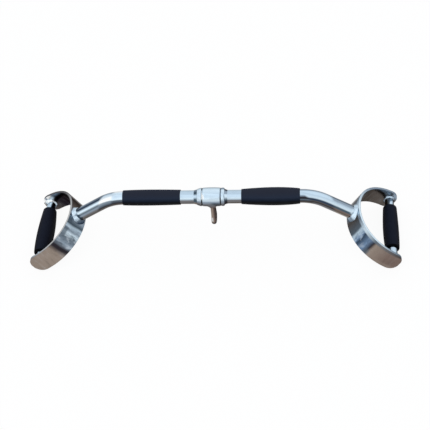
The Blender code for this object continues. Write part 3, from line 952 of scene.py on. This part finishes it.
# %% Chrome of the bar
MIDDLE = bands((-90, EARTH), (-15, CLAY), (0, ASH), (15, ASH), (25, SKY), (30, LIGHT), (45, SKY), (90, SKY),
               (155, SKY), (165, ASH), (270, EARTH))
LEFT_NECK = bands((-90, CLAY), (-15, CLAY), (0, INK), (25, SLATE), (35, LIGHT), (60, SKY), (95, LIGHT),
                  (110, GLARE), (150, SKY), (170, ASH), (270, CLAY))
LEFT_BEND = bands((-90, CLAY), (-20, CLAY), (-5, INK), (10, SLATE), (30, STEEL), (40, GLARE), (55, GLARE),
                  (90, SKY), (110, STEEL), (175, ASH), (270, CLAY))
LEFT_ARM = bands((-90, EARTH), (-20, CLAY), (0, ASH), (15, STEEL), (30, SLATE), (45, LIGHT), (55, LIGHT),
                 (70, NAVY), (80, NAVY), (100, STEEL), (155, SKY), (180, ASH), (270, EARTH))
RIGHT_NECK = bands((-90, SAND), (-15, CLAY), (0, INK), (15, SLATE), (25, INK), (35, INK), (50, STEEL),
                   (60, SKY), (100, LIGHT), (150, SKY), (175, ASH), (270, SAND))
RIGHT_BEND = bands((-90, SAND), (-15, ASH), (0, INK), (10, CLAY), (20, NAVY), (30, NAVY), (40, LIGHT),
                   (60, SKY), (90, SKY), (110, STEEL), (175, ASH), (270, SAND))
RIGHT_ARM = bands((-90, SAND), (-20, SAND), (-10, CLAY), (10, UMBER), (20, DUSK), (30, DUSK), (40, LIGHT),
                  (60, SKY), (75, STEEL), (90, STEEL), (100, SLATE), (150, STEEL), (180, ASH), (270, SAND))


def bar_chrome():
    finish = Finish("bar_chrome")
    along, turned = round_place(finish, 0.014)

    def painted(stops, place=turned):
        return finish.node("ValToRGB", {"stops": stops}, {0: place})

    wander = (finish.noise(60, 2.0) - 0.5) * 0.006
    left = painted(LEFT_NECK)
    left = finish.mix(finish.ease(along - (turned - 0.45) * 0.03 + wander, -0.199, -0.206),
                      left, painted(LEFT_BEND))
    inner_end = finish.ease(along, -0.262, -0.238)
    raised = turned - inner_end * finish.ease(turned, 0.50, 0.56) * 0.055
    left = finish.mix(finish.ease(along - (turned - 0.45) * 0.08 + wander, -0.221, -0.230),
                      left, painted(LEFT_ARM, raised))
    # Painted shade on top of the left arm near its inner end.
    shade = inner_end * finish.ease(along, -0.2215, -0.2300) * finish.ease(turned, 0.520, 0.560)
    left = finish.mix(shade * 0.5, left, seen(*CLAY))
    right = painted(RIGHT_NECK)
    for stops, slant, start_at, end_at in ((RIGHT_BEND, 0.10, 0.192, 0.201), (RIGHT_ARM, 0.06, 0.244, 0.256)):
        edge = finish.ease(along + (turned - 0.32) * slant + wander, start_at, end_at)
        right = finish.mix(edge, right, painted(stops))
    sharper = finish.ease(turned, 0.28, 0.33) * 0.012 - 0.006
    colour = painted(MIDDLE, turned + finish.ease(along, 0.02, 0.05) * sharper)
    colour = finish.mix(finish.ease(along, -0.120, -0.130), colour, left)
    colour = finish.mix(finish.ease(along, 0.120, 0.130), colour, right)
    # A painted highlight on the bar beside each arm weld.
    near_weld = finish.ease(abs(along), 0.2860, 0.2935) * finish.ease(turned, 0.30, 0.34) \
        * finish.ease(turned, 0.46, 0.42)
    return polish(finish, finish.mix(near_weld * 0.8, colour, seen(*LIGHT)), rim=0.7)


bent_bar.data.materials.append(bar_chrome().material)

# %% [markdown]
# The sleeve's painted reflection is mostly sky, with a painted dark crescent low on its right half
# and a painted glint at its left end. The collars' painted reflections are alike, the right one a
# little darker below. The hollow weld behind the left one is painted dark above and below and
# bright between, and the one behind the right collar is painted darkest below.

# %% Chrome of the sleeve, collars and collar welds
SLEEVE = bands((-90, CLAY), (-10, ASH), (10, STEEL), (25, LIGHT), (50, SKY), (90, LIGHT), (150, SKY),
               (170, STEEL), (190, ASH), (270, CLAY))
LEFT_COLLAR = bands((-90, CLAY), (-30, CLAY), (0, ASH), (15, STEEL), (25, LIGHT), (55, SKY), (90, LIGHT),
                    (150, SKY), (170, STEEL), (270, CLAY))
RIGHT_COLLAR = bands((-90, EARTH), (-30, EARTH), (-10, ASH), (15, STEEL), (30, LIGHT), (55, SKY), (90, LIGHT),
                     (110, STEEL), (150, SKY), (170, STEEL), (270, EARTH))
LEFT_HOLLOW = bands((-90, CLAY), (-15, SAND), (5, DUSK), (25, DUSK), (45, SKY), (55, SKY), (70, DUSK),
                    (85, DUSK), (105, STEEL), (150, SKY), (270, CLAY))
RIGHT_HOLLOW = bands((-90, EARTH), (5, INK), (20, DUSK), (45, LIGHT), (60, LIGHT), (70, STEEL), (90, STEEL),
                     (110, INK), (150, STEEL), (270, EARTH))


def sleeve_chrome():
    finish = Finish("sleeve_chrome")
    along, turned = round_place(finish, 0.010)
    colour = finish.node("ValToRGB", {"stops": SLEEVE}, {0: turned})
    # A painted dark crescent of reflection low on the sleeve's right half.
    reach = finish.ease(along, -0.006, 0.007) * finish.ease(along, 0.0185, 0.0150)
    low = finish.ease(turned, 0.170, 0.205) * finish.ease(turned + along * 1.2, 0.283, 0.266)
    crescent = finish.mix(1.0, colour, seen(172, 182, 188), "MULTIPLY")
    colour = finish.mix(reach * low, colour, crescent)
    # A painted glint at the sleeve's left end.
    end = finish.ease(along + (finish.noise(420) - 0.5) * 0.003, -0.0146, -0.0168)
    end = end * finish.ease(abs(turned - 0.375), 0.050, 0.030)
    return polish(finish, finish.mix(end * 0.9, colour, seen(*GLARE)), roughness=0.08)


def ring_chrome(name, stops, roughness):
    finish = Finish(name)
    along, turned = round_place(finish, 0.014)
    return polish(finish, finish.node("ValToRGB", {"stops": stops}, {0: turned}), roughness)


turned_sleeve.data.materials.append(sleeve_chrome().material)
for side, collar, hollow in (("left", LEFT_COLLAR, LEFT_HOLLOW), ("right", RIGHT_COLLAR, RIGHT_HOLLOW)):
    rings[side].data.materials.append(ring_chrome(side + "_collar_chrome", collar, 0.08).material)
    collar_welds[side].data.materials.append(ring_chrome(side + "_hollow_weld", hollow, 0.16).material)

# %% [markdown]
# The eye hangs below, close to the ground, and its painted reflection is that ground's brown. It is
# painted darker at its tip, with painted shade on its rear leg and a painted glint on its front leg.
# The machine's hook has rubbed the inside of its bottom, where the plate is scratched dull and a
# little brighter. The skirts where it is welded on have a painted reflection that goes from the
# sleeve's grey to the same brown.

# %% Chrome of the eye and its welds
def eye_chrome():
    finish = Finish("eye_chrome")
    x, y, z = finish.split(finish.node("TexCoord", output="Object"))
    nx, ny, nz = finish.split(finish.node("TexCoord", output="Normal"))
    cloud = (finish.noise(90) - 0.5) * 0.16
    brown = finish.node("ValToRGB", {"stops": steps((0.0, SAND), (0.4, SAND), (0.7, UMBER), (1.0, EARTH))},
                        {0: nx * 0.5 + 0.5 + cloud})
    # The tip is painted darker.
    tip = finish.ease(z + cloud * 0.02, 0.066, 0.057)
    colour = finish.mix(tip * 0.85, brown, seen(*EARTH))
    # Painted shade on the rear leg.
    shaded = finish.ease(y, 0.004, 0.009) * finish.ease(ny, 0.1, -0.5)
    colour = finish.mix(shaded * 0.9, colour, seen(*EARTH))
    # A painted glint on the front leg, left of its middle.
    glint = finish.ease(abs(nx + 0.38), 0.42, 0.18) * finish.ease(abs(z - 0.0700), 0.0080, 0.0035)
    colour = finish.mix(glint * finish.ease(ny, -0.3, -0.8) * 0.9, colour, seen(*PEARL))
    inside = finish.ease(nz, 0.15, 0.7) * finish.ease(z, 0.066, 0.060)
    rubbed = inside * finish.ease(finish.noise(900, 3.0), 0.35, 0.6)
    colour = finish.mix(rubbed * 0.4, colour, seen(*UMBER))
    polish(finish, colour)
    rough = finish.noise(60) * 0.10 + rubbed * 0.30 + 0.08
    return finish.surface(Roughness=rough)


def flare_chrome():
    finish = Finish("eye_weld_chrome")
    z = finish.split(finish.node("TexCoord", output="Object"))[2]
    nz = finish.split(finish.node("TexCoord", output="Normal"))[2]
    colour = finish.node("ValToRGB", {"stops": steps((0.0, UMBER), (0.6, ASH), (1.0, STEEL))},
                         {0: (z - 0.098) * 45 + nz * 0.4 + (finish.noise(160) - 0.5) * 0.3})
    return polish(finish, colour, 0.24, wave=0.0003, wave_scale=380)


rod_eye.data.materials.append(eye_chrome().material)
flare_finish = flare_chrome()
for piece in flares.values():
    piece.data.materials.append(flare_finish.material)

# %% [markdown]
# A strap is flat across and curved along, so each stretch of it mirrors one thing, and that is
# painted into its colour: brown ground on the front leg, a black gap, then streaks of blue sky, and
# so on. The painted bands run across the strap, a little slanted and uneven. Their places are
# lengths along the flat blank, 0 at the arm and negative towards the front. The inner face is
# painted darker, as painted shade, because the D shades itself, and the narrow edges, which face the sky, are
# painted pale.

# %% Chrome of the straps
RAMP_REACH = 0.330                      # metres of strap that a ramp covers, half on either side


def stretch(*stops):
    """Ramp stops from (millimetres along the strap, tone) pairs."""
    return [(place / 1000 / RAMP_REACH + 0.5, seen(*tone)) for place, tone in stops]


LEFT_OUTER = stretch((-100, SAND), (-90, INK), (-85, INK), (-75, STEEL), (-60, SLATE), (-50, LIGHT),
                     (-45, STEEL), (-35, SKY), (-30, DUSK), (-20, STEEL), (15, CLAY), (40, EARTH), (55, SAND))
RIGHT_OUTER = stretch((-130, UMBER), (-95, SAND), (-90, INK), (-80, BLUE), (-65, NAVY), (-60, BLUE),
                      (-50, SKY), (-45, SLATE), (-20, CLAY), (10, STEEL), (25, ASH), (45, PEARL), (110, SAND))
LEFT_INNER = stretch((-165, STEEL), (-80, CLAY), (0, ASH), (40, EARTH), (125, INK), (165, CLAY))
RIGHT_INNER = stretch((-165, STEEL), (-80, CLAY), (-40, ASH), (45, ASH), (80, CLAY), (165, CLAY))
LEFT_EDGE = stretch((-165, STEEL), (-100, PEARL), (10, PEARL), (80, ASH), (165, ASH))
RIGHT_EDGE = stretch((-165, SLATE), (-130, STEEL), (-90, LIGHT), (0, LIGHT), (80, STEEL), (165, STEEL))
RIGHT_RIM = stretch((-165, EARTH), (-105, ASH), (-90, SLATE), (-60, LIGHT), (-30, STEEL), (-10, LIGHT),
                    (25, STEEL), (165, STEEL))


def strap_chrome(name, front, stops, slant, streaks=0.16, lift=None, reflection_spots=None, roughness=0.16,
                 blur=0.0):
    """A strap face's finish; front is the sign that makes its lengths negative in front."""
    finish = Finish(name)
    length, width, _ = finish.split(finish.node("Attribute", {"attribute_name": "flat"}, output="Vector"))
    length, width = length * front, width * -1
    across = finish.node("CombineXYZ", values={0: length * 120, 1: width * 34})
    soft = finish.noise(1.0, 2.0, across, roughness=0.5)
    clouds = finish.noise(34, 2.0)
    place = length + width * slant + (clouds - 0.5) * 0.006
    # Spots that break up the painted reflection bands on part of the face.
    if reflection_spots:
        start_at, end_at, push, share = reflection_spots
        inside = (finish.ease(length, start_at - 0.004, start_at + 0.004)
                  * finish.ease(length, end_at + 0.004, end_at - 0.004))
        spots = finish.noise(1.0, 3.0, finish.node("CombineXYZ", values={0: length * 150, 1: width * 40}),
                             roughness=0.6, distortion=0.7)
        place = place + (spots - 0.5) * inside * push
    colour = finish.node("ValToRGB", {"stops": stops}, {0: place / RAMP_REACH + 0.5})
    # Painted reflection streaks across the strap, darker and lighter.
    darker = finish.mix(1.0, colour, seen(150, 155, 162), "MULTIPLY")
    lighter = finish.mix(1.0, colour, seen(180, 190, 200), "SCREEN")
    colour = finish.mix(finish.ease(soft, 0.46, 0.24) * streaks * 1.6, colour, darker)
    colour = finish.mix(finish.ease(soft, 0.52, 0.78) * streaks, colour, lighter)
    if reflection_spots:
        colour = finish.mix(finish.ease(spots, 0.44, 0.36) * inside * share, colour, darker)
        colour = finish.mix(finish.ease(spots, 0.52, 0.68) * inside * share, colour, lighter)
    if lift:
        colour = lift(finish, colour, length, width)
    dull = finish.ease(abs(length + 0.034), 0.024, 0.012) * blur
    return polish(finish, colour, dull + roughness, wave=0.0002, wave_scale=45)


def rear_sheen(shine, glow):
    """Painted sky reflection on the upper part of a rear leg's inner face, with a painted highlight above the
    handle.
    """
    def lift(finish, colour, length, width):
        share = finish.ease(width + length * 0.10, 0.024, 0.036) * finish.ease(length, 0.085, 0.120)
        colour = finish.mix(share * shine, colour, seen(*STEEL))
        broken = finish.ease(finish.noise(150, 2.0), 0.30, 0.55)
        share = finish.ease(length, 0.125, 0.138) * finish.ease(width, 0.002, 0.011) * broken
        return finish.mix(share, colour, seen(*glow))
    return lift


def edge_lines(share):
    """An edge's painted reflection is brightest along its middle, and painted darker at both its borders,
    where it mirrors the dark inside.
    """
    def lift(finish, colour, length, width):
        depth = finish.split(finish.node("Attribute", {"attribute_name": "flat"}, output="Vector"))[2]
        border = finish.ease(abs(depth + 0.0025), 0.0010, 0.0022) * share
        return finish.mix(border, colour, finish.mix(1.0, colour, seen(140, 142, 152), "MULTIPLY"))
    return lift


def left_margin(finish, colour, length, width):
    """Above the painted white streaks, the left strap's outer face keeps a painted blue-grey reflection up to
    its edge.
    """
    share = finish.ease(width, 0.009, 0.014) * (finish.ease(abs(length + 0.053), 0.013, 0.009)
                                                + finish.ease(abs(length + 0.023), 0.008, 0.004))
    return finish.mix(share * 0.8, colour, seen(*SLATE))


def right_margin(finish, colour, length, width):
    """The right strap's outer face, all painted reflection: its top margin is painted dark in front and
    as a white highlight from there on, its painted dark band fades downwards, and its front end is painted
    paler along the bottom."""
    share = finish.ease(width, -0.002, -0.014) * finish.ease(abs(length + 0.089), 0.007, 0.003)
    colour = finish.mix(share * 0.6, colour, seen(*SLATE))
    rim = finish.node("ValToRGB", {"stops": RIGHT_RIM}, {0: length / RAMP_REACH + 0.5})
    low = finish.ease(width, -0.011, -0.017) * finish.ease(length, -0.104, -0.122)
    colour = finish.mix(low * 0.5, colour, seen(*SAND))
    wider = finish.ease(length, -0.098, -0.086) * 0.0008
    return finish.mix(finish.ease(width + wider, 0.0138, 0.0172) * 0.95, colour, rim)


STRAP_FACES = {
    "left": (strap_chrome("left_strap_outer", -1, LEFT_OUTER, 0.12, 0.16,
                          reflection_spots=(-0.080, -0.036, 0.012, 0.5), lift=left_margin, blur=0.3),
             strap_chrome("left_strap_inner", -1, LEFT_INNER, -0.35, roughness=0.22,
                          lift=rear_sheen(1.0, GLARE)),
             strap_chrome("left_strap_edge", -1, LEFT_EDGE, 0, 0.06, lift=edge_lines(0.75))),
    "right": (strap_chrome("right_strap_outer", 1, RIGHT_OUTER, 0.0, 0.07,
                           reflection_spots=(-0.082, -0.050, 0.010, 0.35), lift=right_margin, blur=0.34),
              strap_chrome("right_strap_inner", 1, RIGHT_INNER, -0.35, roughness=0.22,
                           lift=rear_sheen(0.9, STEEL)),
              strap_chrome("right_strap_edge", 1, RIGHT_EDGE, 0, 0.06, lift=edge_lines(0.35)))}
for side, finishes in STRAP_FACES.items():
    for finish in finishes:
        straps[side].data.materials.append(finish.material)
    print(side, "strap:", [material.name for material in straps[side].data.materials])

# %% [markdown]
# What shows of the handle rods and the welds is small and bright. A rod has painted reflection
# streaks along it, which go by how far its surface faces to the right. The welds are plated over
# their ripples, so every ripple mirrors a bit of sky beside a bit of ground. Their painted
# reflection goes by how far the surface faces up, broken up by fine clouds.

# %% Chrome of the rods and welds
def facing_up(finish, stops, spread=0.0, scale=260):
    """A colour by how far the surface faces up: place 0 is straight down and 1 straight up."""
    nz = finish.split(finish.node("TexCoord", output="Normal"))[2]
    broken = (finish.noise(scale, 3.0) - 0.5) * spread
    return finish.node("ValToRGB", {"stops": stops}, {0: nz * 0.5 + 0.5 + broken})


def weld_chrome(name, stops):
    finish = Finish(name)
    return polish(finish, facing_up(finish, stops, 0.25), 0.14, 0.12, wave=0.0003, wave_scale=420)


def rod_chrome(name, front, rear):
    """A rod's painted reflection streaks from its left side to its right one, at its front and its rear end.
    """
    finish = Finish(name)
    nx = finish.split(finish.node("TexCoord", output="Normal"))[0]
    y = finish.split(finish.node("TexCoord", output="Object"))[1]
    across = nx * 0.5 + 0.5 + (finish.noise(90) - 0.5) * 0.05
    ends = [finish.node("ValToRGB", {"stops": stops}, {0: across}) for stops in (front, rear)]
    return polish(finish, finish.mix(finish.ease(y, -0.01, 0.01), *ends))


left_rod = rod_chrome("left_rod_chrome",
                      steps((0, INK), (0.25, INK), (0.35, SKY), (0.5, SKY), (0.6, SLATE), (1, NAVY)),
                      steps((0, SKY), (0.65, SKY), (0.75, ASH), (1, INK)))
right_rod = rod_chrome("right_rod_chrome",
                       steps((0, INK), (0.2, SLATE), (0.25, SKY), (0.8, SKY), (0.9, SLATE), (1, INK)),
                       steps((0, EARTH), (0.2, CLAY), (0.3, SKY), (0.45, ASH), (0.55, SKY), (0.8, SKY),
                             (0.9, INK), (1, INK)))
left_weld = weld_chrome("left_weld_chrome", steps(
    (0, EARTH), (0.5, NAVY), (0.65, SLATE), (0.75, STEEL), (0.9, LIGHT), (1, SKY)))
right_weld = weld_chrome("right_weld_chrome", steps(
    (0, EARTH), (0.5, SLATE), (0.65, STEEL), (0.75, SKY), (0.9, LIGHT), (1, SKY)))
left_star = weld_chrome("left_rear_weld_chrome", steps(
    (0, CLAY), (0.45, STEEL), (0.6, SKY), (0.8, GLARE), (1, LIGHT)))
right_ring_weld = weld_chrome("right_rear_weld_chrome", steps(
    (0, EARTH), (0.5, CLAY), (0.7, STEEL), (0.85, SKY), (1, SKY)))
for side, finish, rear_finish, rod_finish in (("left", left_weld, left_star, left_rod),
                                              ("right", right_weld, right_ring_weld, right_rod)):
    rods[side].data.materials.append(rod_finish.material)
    arm_welds[side].data.materials.append(finish.material)
    handle_welds[side, "front"].data.materials.append(finish.material)
    handle_welds[side, "rear"].data.materials.append(rear_finish.material)

# %% [markdown]
# The grips are matt rubber, almost black. Their colour has painted shading by how far they face up:
# darker underneath, and lighter and bluer above, as a painted sky sheen. The handle grips are
# painted darker still, as painted shade from the straps. The rubber has a fine grain that only shows
# as softness, and faint uneven patches from hands. The bushes are black nylon. Their flanges get
# painted highlights where they face the sky, most on the left one.

# %% Rubber and nylon
def grip_rubber(name, *shades, patches=0.06):
    """Painted shading by how far the surface faces up, from the underside to the top: below, low, side-on,
    upper and on top.
    """
    finish = Finish(name)
    colour = facing_up(finish, [(place, seen(*shade)) for place, shade in
                                zip((0.40, 0.52, 0.66, 0.80, 0.98), shades)], 0.06, 60)
    blotch = finish.ease(finish.noise(75, 3.0, roughness=0.55), 0.35, 0.75)
    colour = finish.mix(blotch * patches, colour, seen(46, 54, 68))
    grain = finish.noise(1500, 2.0)
    pores = finish.ease(finish.node("TexVoronoi", {"feature": "F1"}, {
        "Vector": finish.node("TexCoord", output="Object"), "Scale": 900.0}, output="Distance"), 0.1, 0.5)
    rough = finish.bump(grain * 0.6 + pores * 0.4, 0.00012, 0.8)
    return finish.surface(Base_Color=colour, Roughness=0.62 + grain * 0.2, Specular_IOR_Level=0.05,
                          Normal=rough)


# The same rubber in two sets of painted shades; the handle grips are painted darker, as painted shade from
# the straps round them.
bar_rubber = grip_rubber("bar_rubber", (20, 20, 22), (10, 10, 15), (20, 28, 42), (36, 44, 60), (38, 42, 54))
handle_rubber = grip_rubber("handle_rubber", (6, 6, 8), (6, 6, 10), (10, 10, 14), (16, 16, 24), (22, 26, 38))
for grips, finish in ((bar_grips, bar_rubber), (handle_grips, handle_rubber)):
    for grip in grips.values():
        grip.data.materials.append(finish.material)

# The flanges' own black, with painted highlights and painted reflection where they face the sky.
LEFT_NYLON = bands((-90, JET), (20, JET), (35, GLARE), (60, GLARE), (85, SKY), (100, SLATE), (120, JET),
                   (270, JET))
RIGHT_NYLON = bands((-90, JET), (35, JET), (50, STEEL), (95, STEEL), (115, SLATE), (150, JET), (270, JET))
for side, stops in (("left", LEFT_NYLON), ("right", RIGHT_NYLON)):
    nylon = Finish(side + "_nylon")
    turned = round_place(nylon, 0.02)[1]
    nylon.surface(Base_Color=nylon.node("ValToRGB", {"stops": stops}, {0: turned}),
                  Roughness=nylon.noise(300) * 0.2 + 0.35, Specular_IOR_Level=0.3,
                  Normal=nylon.bump(nylon.noise(1200), 0.00005))
    bushes[side].data.materials.append(nylon.material)
print("finishes:", len(bpy.data.materials))
